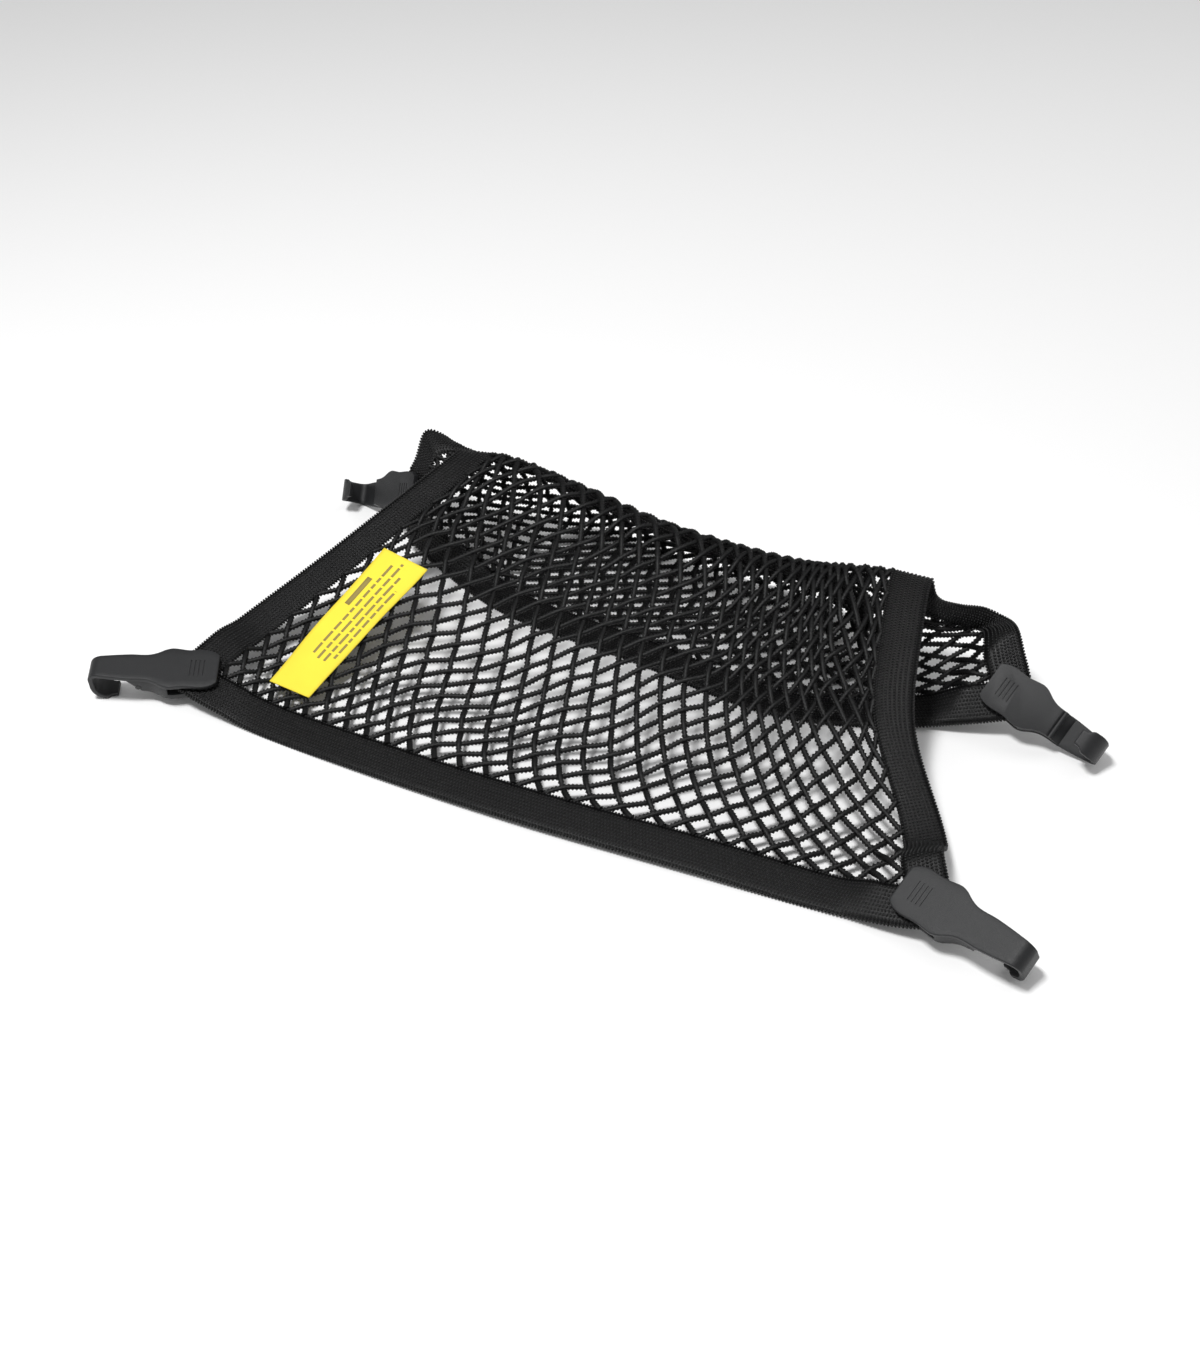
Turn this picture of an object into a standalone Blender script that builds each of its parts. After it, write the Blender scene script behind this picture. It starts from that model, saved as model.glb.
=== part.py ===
# Elastic luggage net lying folded over on a flat surface: knotless mesh panel, knitted edge
# binding on four sides, sewn-in label and four two-part corner hooks. Metres, +Z up.
import math

import bmesh
import bpy
import numpy as np
from mathutils import Matrix, Vector

MM = 0.001

# Cloth sizes, mm
BAND_WIDTH = 21.0
BAND_THICK = 2.4
NET_THICK = 2.0
LABEL_WIDTH = (27.0, 33.0)
LABEL_LIFT = 3.4
LABEL_START = (0.153, 0.068)
LABEL_STOP = (0.146, 0.3)
LABEL_THICK = 1.0
GAP = 0.3
SEAM_GAP = 0.9
ACROSS_RUN = 425.0
FRONT_RUN = 440.0
BACK_RUN = 205.0
FLOOR = 1.2
CELLS_ACROSS = 24
CELLS_DEEP = 14
CORD = 3.0

# Hook sizes, mm, along the hook from its plate end to the outside of its bend
HOOK_LENGTH = 71.4
HOOK_HEIGHT = 22.0
HOOK_SHELL = 2.8
CLAMP_DEPTH = 11.5
CLAMP_LENGTH = 50.0
JAW_DEPTH = 27.0
JAW_TOP = 3.4
JAW_BOTTOM = 8.0
PIN_RADIUS = 1.6
PIN_ALONG = 44.0
PIN_DOWN = 8.8

# Half widths of the hook along its outline, mm
HOOK_OUTLINE = (
    (0.0, 9.4), (1.2, 10.6), (4.0, 12.3), (8.0, 13.2), (13.0, 13.1), (18.0, 12.9), (23.0, 13.6),
    (26.5, 13.9), (30.0, 12.9), (34.0, 10.6), (38.0, 9.1), (42.0, 8.7), (48.0, 8.8), (54.0, 8.4),
    (60.0, 7.8), (66.0, 7.1), (72.0, 6.6), (80.0, 6.4), (92.0, 6.9), (95.5, 6.4), (97.5, 4.6),
)

# How the net lies, mm, in a frame whose X runs along the front edge. Each column is one line
# from the front edge up to the ridge (fifth point), down behind it and back under the front.
COLUMN_AT = (0.0, 0.05, 0.12, 0.3, 0.5, 0.7, 0.88, 0.95, 1.0)
RIDGE_ROW = 4
COLUMNS = (
    ((-225, -3, 14), (-212, 57, 20), (-190, 107, 35), (-168, 152, 52), (-147, 204, 67),
     (-151, 214, 61), (-158, 222, 57), (-168, 227, 60), (-178, 226, 63), (-183, 214, 47),
     (-195, 207, 24)),
    ((-204, -6, 9), (-190, 57, 18), (-169, 109, 35), (-150, 158, 53), (-130, 207, 67.5),
     (-135, 215, 62), (-143, 220, 58), (-152, 222, 59), (-161, 217, 60), (-167, 200, 42),
     (-180, 193, 18)),
    ((-176, -8, 3.5), (-166, 56, 15), (-150, 112, 34), (-135, 164, 54), (-119, 209, 67),
     (-117, 221, 58), (-123, 230, 48), (-131, 227, 43), (-140, 209, 42), (-149, 190, 33),
     (-166, 184, 4)),
    ((-95, -13, 2.5), (-90, 52, 15), (-82, 104, 34), (-73, 154, 54), (-64, 197, 67),
     (-66, 221, 46), (-70, 243, 22), (-76, 250, 7), (-84, 226, 1.2), (-90, 188, 1.2),
     (-94, 149, 1.2)),
    ((0, -15, 4), (1, 45, 15), (2, 92, 33), (3, 139, 52), (4, 181, 66),
     (3, 206, 45), (2, 230, 21), (1, 238, 7), (1, 210, 1.2), (0, 174, 1.2),
     (0, 136, 1.2)),
    ((95, -11.5, 4), (92, 45, 15), (87, 92, 33), (82, 138, 52), (78, 179, 65),
     (79, 203, 44), (82, 225, 21), (86, 233, 7), (90, 205, 1.2), (94, 165, 1.2),
     (96, 124, 1.2)),
    ((172, -8, 3), (162, 46, 12), (146, 97, 34), (133, 145, 53), (121, 190, 66),
     (129, 194, 51), (142, 188, 37), (153, 185, 28), (163, 182, 20), (170, 168, 10),
     (176, 149, 4)),
    ((206, -8, 8), (189, 47, 12), (157, 99, 38), (143, 147, 55), (135, 191, 67),
     (149, 190, 55), (163, 193, 44), (174, 200, 38), (185, 205, 33), (194, 194, 25),
     (207, 160, 9)),
    ((228, -5, 14), (206, 53, 13), (172, 104, 38), (160, 150, 56), (153, 193, 66),
     (157, 194, 55), (170, 199, 50), (183, 206, 47), (199, 204, 42), (211, 190, 31),
     (225, 167, 14)),
)

# Each hook: plate end on its outer face, heading, pitch and roll in degrees, and whether it
# lies with its outer face down.
HOOKS = {
    "front_left": ((-198, 13, 18.6), 206.6, 3.6, -13.8, False),
    "front_right": ((196, 6.5, 21.0), -20.5, 2.0, 29.0, False),
    "back_right": ((196, 175, 22.5), -12.5, -15.0, 43.0, True),
    "back_left": ((-169, 202, 32.4), 160.0, -24.0, -58.0, True),
}

# Moves the whole net so that its outline is centred on the origin and it stands on Z = 0
TO_ORIGIN = (-0.42, -113.89, 0.0)

# The twelve largest cells are real holes: column and row of each, counted from front left
OPEN_CELLS = (
    (23, 1), (22, 1), (21, 1), (20, 1), (19, 1), (18, 1),
    (22.5, 1.5), (21.5, 1.5), (20.5, 1.5), (19.5, 1.5), (21, 2), (20, 2),
)

BLACK = (0.012, 0.012, 0.013)
GREY = (0.075, 0.075, 0.08)
YELLOW = (0.93, 0.72, 0.08)


def hermite(knots, values, at):
    # smooth curve through values (n, m, 3) at knots (n, m), read at (m,)
    step = np.diff(knots, axis=0)
    slope = np.diff(values, axis=0) / step[..., None]
    mid = (slope[1:] * step[:-1, :, None] + slope[:-1] * step[1:, :, None])
    mid = mid / (step[1:] + step[:-1])[..., None]
    tangent = np.concatenate([slope[:1], mid, slope[-1:]])
    cell = np.clip((knots[1:-1] <= at).sum(axis=0), 0, len(knots) - 2)
    pick = np.arange(len(at))
    width = step[cell, pick]
    t = ((at - knots[cell, pick]) / width)[:, None]
    width = width[:, None]
    start, end = values[cell, pick], values[cell + 1, pick]
    return (
        start * (2 * t ** 3 - 3 * t ** 2 + 1) + end * (3 * t ** 2 - 2 * t ** 3)
        + tangent[cell, pick] * width * (t ** 3 - 2 * t ** 2 + t)
        + tangent[cell + 1, pick] * width * (t ** 3 - t ** 2)
    )


def column_knots(points):
    # chord length along the column, half of it before the ridge
    run = np.concatenate([[0.0], np.cumsum(np.linalg.norm(np.diff(points, axis=0), axis=1))])
    ridge = run[RIDGE_ROW]
    front = 0.5 * run / ridge
    back = 0.5 + 0.5 * (run - ridge) / (run[-1] - ridge)
    return np.where(run <= ridge, front, back)


COLUMN_POINTS = [np.array(column, dtype=float) for column in COLUMNS]
COLUMN_KNOTS = [column_knots(points) for points in COLUMN_POINTS]


def hook_frame(name):
    at, heading, pitch, roll, flipped = HOOKS[name]
    turn = Matrix.Rotation(math.radians(heading), 4, "Z")
    turn = turn @ Matrix.Rotation(math.radians(-pitch), 4, "Y")
    turn = turn @ Matrix.Rotation(math.radians(roll + (180 if flipped else 0)), 4, "X")
    return Matrix.Translation(Vector(at)) @ turn


def smooth(t):
    t = np.clip(t, 0.0, 1.0)
    return t * t * (3 - 2 * t)


def drape(a, b):
    # point of the cloth's middle surface at shares a across and b from front to back
    a, b = np.broadcast_arrays(np.asarray(a, float), np.asarray(b, float))
    shape = a.shape
    a, b = a.ravel(), b.ravel()
    lines = []
    for points, knots in zip(COLUMN_POINTS, COLUMN_KNOTS):
        many = np.repeat(points[:, None, :], len(b), axis=1)
        lines.append(hermite(np.repeat(knots[:, None], len(b), axis=1), many, b))
    across = np.repeat(np.array(COLUMN_AT)[:, None], len(a), axis=1)
    spot = hermite(across, np.array(lines), a)
    # the corners lie flat in the jaws of their hooks
    for name in HOOKS:
        frame = np.array(hook_frame(name))
        origin, normal = frame[:3, 3], frame[:3, 2]
        jaw = origin - normal * 0.5 * (JAW_TOP + JAW_BOTTOM)
        from_side = a if name.endswith("left") else 1 - a
        from_end = b * FRONT_RUN if name.startswith("front") else (1 - b) * BACK_RUN
        share = smooth((58.0 - np.hypot(from_side * ACROSS_RUN, from_end)) / 18.0)
        spot = spot - (share * ((spot - jaw) @ normal))[:, None] * normal
    spot[:, 2] = np.maximum(spot[:, 2], FLOOR)
    return spot.reshape(shape + (3,))


def seam(distance, side):
    # share of the cloth that lies within a distance of one edge, along that edge
    fine = np.linspace(0.0, 0.3, 121)
    edge = np.linspace(0.0, 1.0, 81)
    grid_in, grid_along = np.meshgrid(fine, edge)
    if side == "left":
        spots = drape(grid_in, grid_along)
    elif side == "right":
        spots = drape(1 - grid_in, grid_along)
    elif side == "front":
        spots = drape(grid_along, grid_in)
    else:
        spots = drape(grid_along, 1 - grid_in)
    run = np.cumsum(np.linalg.norm(np.diff(spots, axis=1), axis=2), axis=1)
    found = np.array([np.interp(distance, row, fine[1:]) for row in run])
    return edge, found


SEAMS = {side: seam(BAND_WIDTH, side) for side in ("left", "right", "front", "back")}


def seam_at(side, along, extra=0.0):
    edge, found = SEAMS[side]
    share = np.interp(along, edge, found)
    return share * (1 + extra / BAND_WIDTH)


def material(name, color, roughness):
    made = bpy.data.materials.new(name)
    made.use_nodes = True
    shader = made.node_tree.nodes["Principled BSDF"]
    shader.inputs["Base Color"].default_value = (*color, 1.0)
    shader.inputs["Roughness"].default_value = roughness
    shader.inputs["Metallic"].default_value = 0.0
    return made


def add_object(name, mesh, color, roughness, collection):
    made = bpy.data.objects.new(name, mesh)
    made.data.materials.append(material(name, color, roughness))
    collection.objects.link(made)
    return made


def trim_corners(mesh):
    # the cloth ends inside each hook's jaws
    for name in HOOKS:
        frame = hook_frame(name)
        along = frame.to_3x3() @ Vector((1, 0, 0))
        cut = frame @ Vector((JAW_DEPTH - 2.0, 0, 0))
        near = {v for v in mesh.verts if (v.co - frame.translation).length < 75}
        if any((v.co - cut).dot(along) > 0 for v in near):
            faces = [f for f in mesh.faces if all(v in near for v in f.verts)]
            edges = list({e for f in faces for e in f.edges})
            verts = list({v for f in faces for v in f.verts})
            bmesh.ops.bisect_plane(
                mesh, geom=verts + edges + faces, dist=0.001, plane_co=cut, plane_no=along,
                clear_outer=True,
            )
            open_edges = [e for e in mesh.edges if e.is_boundary]
            bmesh.ops.holes_fill(mesh, edges=open_edges, sides=0)


def normals_at(a, b):
    step = 0.002
    ahead = drape(a, np.minimum(b + step, 1)) - drape(a, np.maximum(b - step, 0))
    beside = drape(np.minimum(a + step, 1), b) - drape(np.maximum(a - step, 0), b)
    normal = np.cross(beside, ahead)
    return normal / np.linalg.norm(normal, axis=-1)[..., None]


def sheet(name, spots, normals, thick, color, roughness, collection, trimmed=True):
    # grid of points (rows, columns, 3) with its normals, made into a closed sheet
    rows, columns = spots.shape[:2]
    mesh = bmesh.new()
    upper = spots + normals * 0.5 * thick
    lower = spots - normals * 0.5 * thick
    top = [[mesh.verts.new(upper[i, j]) for j in range(columns)] for i in range(rows)]
    base = [[mesh.verts.new(lower[i, j]) for j in range(columns)] for i in range(rows)]
    for i in range(rows - 1):
        for j in range(columns - 1):
            mesh.faces.new((top[i][j], top[i][j + 1], top[i + 1][j + 1], top[i + 1][j]))
            mesh.faces.new((base[i][j], base[i + 1][j], base[i + 1][j + 1], base[i][j + 1]))
    rim = [(0, j) for j in range(columns - 1)] + [(i, columns - 1) for i in range(rows - 1)]
    rim += [(rows - 1, j) for j in range(columns - 1, 0, -1)] + [(i, 0) for i in range(rows - 1, 0, -1)]
    for (i, j), (k, m) in zip(rim, rim[1:] + rim[:1]):
        mesh.faces.new((top[i][j], base[i][j], base[k][m], top[k][m]))
    bmesh.ops.recalc_face_normals(mesh, faces=mesh.faces)
    if trimmed:
        trim_corners(mesh)
    bmesh.ops.triangulate(mesh, faces=[f for f in mesh.faces if len(f.verts) > 3])
    for vert in mesh.verts:
        vert.co *= MM
    data = bpy.data.meshes.new(name)
    mesh.to_mesh(data)
    mesh.free()
    return add_object(name, data, color, roughness, collection)


def net_shares(across, deep):
    # shares of the mesh panel (0 to 1 between its seams) to shares of the whole cloth
    across, deep = np.broadcast_arrays(across, deep)
    a, b = across.copy(), deep.copy()
    for _ in range(6):
        left = seam_at("left", b, SEAM_GAP)
        right = 1 - seam_at("right", b, SEAM_GAP)
        front = seam_at("front", a, SEAM_GAP)
        back = 1 - seam_at("back", a, SEAM_GAP)
        a = left + across * (right - left)
        b = front + deep * (back - front)
    return a, b


def net_spots(across, deep):
    return drape(*net_shares(across, deep))


NET_A, NET_B = net_shares(np.linspace(0, 1, CELLS_ACROSS + 3)[None, :],
                          np.linspace(0, 1, 3 * CELLS_DEEP + 1)[:, None])


def build_net(collection, cutters):
    made = sheet("net_panel", drape(NET_A, NET_B), normals_at(NET_A, NET_B), NET_THICK, BLACK,
                 0.85, collection, trimmed=False)
    for number, (column, row) in enumerate(OPEN_CELLS):
        cutter = cell_cutter(number, column, row, cutters)
        cut = made.modifiers.new("cell_%02d" % number, "BOOLEAN")
        cut.operation = "DIFFERENCE"
        cut.solver = "EXACT"
        cut.object = cutter
    return made


def cell_corners(column, row):
    # the four knots of one diamond cell
    middle = np.array([column / CELLS_ACROSS, row / CELLS_DEEP])
    half_a, half_b = 0.5 / CELLS_ACROSS, 0.5 / CELLS_DEEP
    knots = [(half_a, 0), (0, half_b), (-half_a, 0), (0, -half_b)]
    return [net_spots(np.array([middle[0] + x]), np.array([middle[1] + y]))[0] for x, y in knots]


def cell_cutter(number, column, row, cutters):
    corners = [Vector(spot) for spot in cell_corners(column, row)]
    middle = sum(corners, Vector()) / 4
    normal = (corners[0] - corners[2]).cross(corners[1] - corners[3]).normalized()
    edge = min((corners[i] - corners[i - 1]).length for i in range(4))
    inset = 1 - CORD * 1.25 / (edge * 0.86)
    mesh = bmesh.new()
    bottom = [mesh.verts.new((middle + (spot - middle) * inset - normal * 5) * MM)
              for spot in corners]
    face = mesh.faces.new(bottom)
    raised = bmesh.ops.extrude_face_region(mesh, geom=[face])
    moved = [item for item in raised["geom"] if isinstance(item, bmesh.types.BMVert)]
    bmesh.ops.translate(mesh, verts=moved, vec=normal * 10 * MM)
    bmesh.ops.recalc_face_normals(mesh, faces=mesh.faces)
    data = bpy.data.meshes.new("cell_cutter_%02d" % number)
    mesh.to_mesh(data)
    mesh.free()
    made = bpy.data.objects.new(data.name, data)
    made.hide_render = True
    made.display_type = "WIRE"
    cutters.objects.link(made)
    return made


def build_bindings(collection):
    # front and back run the full width, the sides butt against them; all share the stations of
    # the mesh panel's edges
    inward = np.linspace(0.0, 1.0, 4)
    made = []
    for side, row in (("front", 0), ("back", -1)):
        inner = NET_A[row]
        along = np.concatenate([inner[0] * inward[:-1], inner,
                                1 - (1 - inner[-1]) * inward[-2::-1]])
        b = inward[:, None] * seam_at(side, along)[None, :]
        a = along[None, :] + 0 * b
        made.append(("binding_" + side, a, b if side == "front" else 1 - b))
    for side, column in (("left", 0), ("right", -1)):
        inner = NET_B[:, column]
        ends = ((inner - inner[0]) / (inner[-1] - inner[0]))[:, None] + 0 * inward[None, :]
        b = inner[:, None] + 0 * ends
        for _ in range(6):
            a = inward * seam_at(side, b)
            if side == "right":
                a = 1 - a
            start = seam_at("front", a, SEAM_GAP)
            stop = 1 - seam_at("back", a, SEAM_GAP)
            b = start + ends * (stop - start)
        made.append(("binding_" + side, a, b))
    for name, a, b in made:
        sheet(name, drape(a, b), normals_at(a, b), BAND_THICK, BLACK, 0.8, collection)


def build_label(collection):
    # a strip sewn in at the front binding, where it is gathered, and loose over the mesh
    length = np.linspace(0.0, 1.0, 15)
    width = np.linspace(-0.5, 0.5, 5)
    start, stop = np.array(LABEL_START), np.array(LABEL_STOP)
    line = start + (stop - start) * length[:, None]
    middle = drape(line[:, 0], line[:, 1])
    ahead = np.gradient(middle, axis=0)
    ahead /= np.linalg.norm(ahead, axis=1)[:, None]
    beside = drape(line[:, 0] + 0.01, line[:, 1]) - drape(line[:, 0] - 0.01, line[:, 1])
    normal = np.cross(beside, ahead)
    normal /= np.linalg.norm(normal, axis=1)[:, None]
    beside = np.cross(ahead, normal)
    lift = LABEL_LIFT + 1.2 * np.sin(length * math.pi) ** 2
    wide = LABEL_WIDTH[0] + (LABEL_WIDTH[1] - LABEL_WIDTH[0]) * length
    across = wide[:, None] * width[None, :]
    spots = middle[:, None, :] + beside[:, None, :] * across[..., None]
    spots = spots + normal[:, None, :] * lift[:, None, None]
    normals = normal[:, None, :] + 0 * spots
    sheet("label", spots, normals, LABEL_THICK, YELLOW, 0.6, collection, trimmed=False)


def hook_path():
    # side view of the hook's outer face from the plate end round the bend to the leg's tip
    spots = [(x, 0.0) for x in (0, 1.2, 4, 8, 13, 18, 23, 26.5, 30, 34, 38, 42, 48, 54, 60, 65)]
    for step in range(1, 6):
        turn = math.radians(86 * step / 5)
        spots.append((65 + 6.6 * math.sin(turn), -6.6 + 6.6 * math.cos(turn)))
    low = HOOK_HEIGHT - 10.3
    for step in range(0, 8):
        turn = math.radians(86 + 96 * step / 7)
        spots.append((HOOK_LENGTH - 10.3 + 10.3 * math.sin(turn), -low + 10.3 * math.cos(turn)))
    end = spots[-1]
    spots += [(end[0] - 2.2, end[1] + 0.15), (end[0] - 4.0, end[1] + 0.4)]
    return spots


def half_width(run):
    stations, halves = zip(*HOOK_OUTLINE)
    return float(np.interp(run, stations, halves))


def build_hook(name, collection):
    path = hook_path()
    run = 0.0
    rows = []
    for number, (x, z) in enumerate(path):
        if number:
            run += math.dist(path[number - 1], (x, z))
        half = half_width(run)
        rows.append([(x, half * share, z) for share in (-1.0, -0.4, 0.4, 1.0)])
    spots = np.array(rows)
    mesh = bmesh.new()
    verts = [[mesh.verts.new(Vector(spot) * MM) for spot in row] for row in spots]
    for i in range(len(rows) - 1):
        for j in range(3):
            mesh.faces.new((verts[i][j], verts[i + 1][j], verts[i + 1][j + 1], verts[i][j + 1]))
    data = bpy.data.meshes.new("hook_" + name)
    mesh.to_mesh(data)
    mesh.free()
    made = add_object("hook_" + name, data, GREY, 0.5, collection)
    shell = made.modifiers.new("shell", "SOLIDIFY")
    shell.thickness = HOOK_SHELL * MM
    shell.offset = -1.0
    shell.use_even_offset = True
    rounding = made.modifiers.new("rounding", "BEVEL")
    rounding.width = 0.8 * MM
    rounding.segments = 2
    rounding.limit_method = "ANGLE"
    rounding.angle_limit = math.radians(50)
    return made


def box_cutter(name, low, high, cutters, turn=0.0, pivot=(0, 0, 0)):
    bpy.ops.mesh.primitive_cube_add(size=1.0)
    made = bpy.context.object
    made.name = name
    size = Vector(high) - Vector(low)
    middle = (Vector(high) + Vector(low)) / 2
    place = Matrix.Translation(middle) @ Matrix.Diagonal((*size, 1.0))
    place = Matrix.Translation(pivot) @ Matrix.Rotation(turn, 4, "Y") @ place
    made.data.transform(Matrix.Scale(MM, 4) @ place)
    made.hide_render = True
    made.display_type = "WIRE"
    for home in list(made.users_collection):
        home.objects.unlink(made)
    cutters.objects.link(made)
    return made


def build_clamp(name, collection, cutters):
    stations = (1.0, 2.2, 4, 8, 13, 18, 23, 26.5, 30, 34, 38, 42, 46, CLAMP_LENGTH)
    top, bottom = HOOK_SHELL + GAP, CLAMP_DEPTH
    mesh = bmesh.new()
    outline = [(x, half_width(x) - 0.5) for x in stations]
    outline += [(x, -half) for x, half in reversed(outline)]
    face = mesh.faces.new([mesh.verts.new(Vector((x, y, -bottom)) * MM) for x, y in outline])
    raised = bmesh.ops.extrude_face_region(mesh, geom=[face])
    moved = [item for item in raised["geom"] if isinstance(item, bmesh.types.BMVert)]
    bmesh.ops.translate(mesh, verts=moved, vec=Vector((0, 0, bottom - top)) * MM)
    bmesh.ops.recalc_face_normals(mesh, faces=mesh.faces)
    data = bpy.data.meshes.new("clamp_" + name)
    mesh.to_mesh(data)
    mesh.free()
    made = add_object("clamp_" + name, data, GREY, 0.55, collection)
    jaw = box_cutter("jaw_cutter_" + name, (-5, -20, -JAW_BOTTOM), (JAW_DEPTH, 20, 0), cutters)
    slope = math.atan2(CLAMP_DEPTH - HOOK_SHELL, CLAMP_LENGTH - 42.0)
    wedge = box_cutter("wedge_cutter_" + name, (-30, -20, -20), (30, 20, 0), cutters, -slope,
                       (CLAMP_LENGTH, 0, -HOOK_SHELL))
    hole = pin_mesh("pin_cutter_" + name, PIN_RADIUS + GAP, 40.0)
    hole.hide_render = True
    hole.display_type = "WIRE"
    cutters.objects.link(hole)
    for cutter in (jaw, wedge, hole):
        cut = made.modifiers.new(cutter.name, "BOOLEAN")
        cut.operation = "DIFFERENCE"
        cut.solver = "EXACT"
        cut.object = cutter
    return made, (jaw, wedge, hole)


def pin_mesh(name, radius, length):
    mesh = bmesh.new()
    turn = Matrix.Rotation(math.radians(90), 4, "X")
    bmesh.ops.create_cone(mesh, cap_ends=True, segments=20, radius1=radius * MM,
                          radius2=radius * MM, depth=length * MM,
                          matrix=Matrix.Translation(Vector((PIN_ALONG, 0, -PIN_DOWN)) * MM) @ turn)
    data = bpy.data.meshes.new(name)
    mesh.to_mesh(data)
    mesh.free()
    return bpy.data.objects.new(name, data)


def build():
    for item in list(bpy.data.objects):
        bpy.data.objects.remove(item, do_unlink=True)
    parts = bpy.data.collections.new("luggage_net")
    cutters = bpy.data.collections.new("cutters")
    bpy.context.scene.collection.children.link(parts)
    bpy.context.scene.collection.children.link(cutters)

    build_net(parts, cutters)
    build_bindings(parts)
    build_label(parts)
    for name in HOOKS:
        frame = hook_frame(name)
        place = Matrix.Translation(frame.translation * MM) @ frame.to_3x3().to_4x4()
        hook = build_hook(name, parts)
        clamp, clamp_cutters = build_clamp(name, parts, cutters)
        pin = pin_mesh("pin_" + name, PIN_RADIUS, 2 * half_width(PIN_ALONG) - 1.2)
        pin.data.materials.append(material(pin.name, GREY, 0.5))
        parts.objects.link(pin)
        for item in (hook, clamp, pin) + clamp_cutters:
            item.matrix_world = place
    move = Matrix.Translation(Vector(TO_ORIGIN) * MM)
    for item in list(parts.objects) + list(cutters.objects):
        item.matrix_world = move @ item.matrix_world


build()
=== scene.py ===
import math

import bmesh
import bpy
import numpy as np
from mathutils import Matrix, Vector


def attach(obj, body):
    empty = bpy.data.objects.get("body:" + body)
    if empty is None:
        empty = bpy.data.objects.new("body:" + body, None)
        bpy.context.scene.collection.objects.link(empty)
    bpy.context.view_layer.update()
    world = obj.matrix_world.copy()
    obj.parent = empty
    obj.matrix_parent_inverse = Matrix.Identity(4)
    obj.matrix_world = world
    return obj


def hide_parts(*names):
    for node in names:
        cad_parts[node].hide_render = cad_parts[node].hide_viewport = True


# Elastic luggage net lying folded over: cord mesh, knitted edge bindings, sewn-in label and
# four two-part corner hooks. Working sizes are in millimetres and are scaled at the end.
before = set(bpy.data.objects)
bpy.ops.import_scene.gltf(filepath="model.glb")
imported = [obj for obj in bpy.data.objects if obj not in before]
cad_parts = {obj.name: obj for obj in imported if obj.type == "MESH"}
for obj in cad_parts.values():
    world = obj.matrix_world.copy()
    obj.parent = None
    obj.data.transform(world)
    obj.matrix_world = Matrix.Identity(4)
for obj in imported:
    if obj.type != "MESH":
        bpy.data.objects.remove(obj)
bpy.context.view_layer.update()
mm = 0.001
toOrigin = np.array([-0.42, -113.89, 0.0])

print("camera, floor and light")
studio = {
    "cameraAt": (0.3064, -0.6952, 0.6003),
    "lookAt": (-0.0127, 0.0037, 0.0),
    "lens": 45.5,
    "floorColor": (0.97, 0.97, 0.97),
    "keyAt": (-0.22, -0.62, 1.7),
    "keySize": 0.34,
    "keyPower": 26.0,
    "fillPower": 4.0,
    "roomLight": 0.4,
}


def makeStudio(setup):
    scene = bpy.context.scene
    scene.view_settings.view_transform = "Standard"
    cameraData = bpy.data.cameras.new("camera")
    cameraData.lens = setup["lens"]
    cameraData.sensor_width = 36.0
    cameraData.clip_start = 0.01
    camera = bpy.data.objects.new("camera", cameraData)
    scene.collection.objects.link(camera)
    at = Vector(setup["cameraAt"])
    turn = (Vector(setup["lookAt"]) - at).to_track_quat("-Z", "Y")
    camera.location = at
    camera.rotation_euler = turn.to_euler()
    scene.camera = camera
    bpy.ops.mesh.primitive_plane_add(size=12.0)
    floor = bpy.context.object
    floor.name = "floor"
    paint = bpy.data.materials.new("floorPaint")
    paint.use_nodes = True
    shader = paint.node_tree.nodes["Principled BSDF"]
    shader.inputs["Base Color"].default_value = (*setup["floorColor"], 1.0)
    shader.inputs["Roughness"].default_value = 0.9
    shader.inputs["Specular IOR Level"].default_value = 0.1
    floor.data.materials.append(paint)
    for name, spot, size, power in (
        ("keyLight", setup["keyAt"], setup["keySize"], setup["keyPower"]),
        ("fillLight", (0.9, 1.1, 1.3), 1.4, setup["fillPower"]),
    ):
        lamp = bpy.data.lights.new(name, "AREA")
        lamp.size = size
        lamp.energy = power
        made = bpy.data.objects.new(name, lamp)
        made.location = spot
        made.rotation_euler = (-Vector(spot)).to_track_quat("-Z", "Y").to_euler()
        scene.collection.objects.link(made)
    world = bpy.data.worlds.new("room")
    world.use_nodes = True
    back = world.node_tree.nodes["Background"]
    back.inputs["Color"].default_value = (1.0, 1.0, 1.0, 1.0)
    back.inputs["Strength"].default_value = setup["roomLight"]
    scene.world = world


makeStudio(studio)

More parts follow.
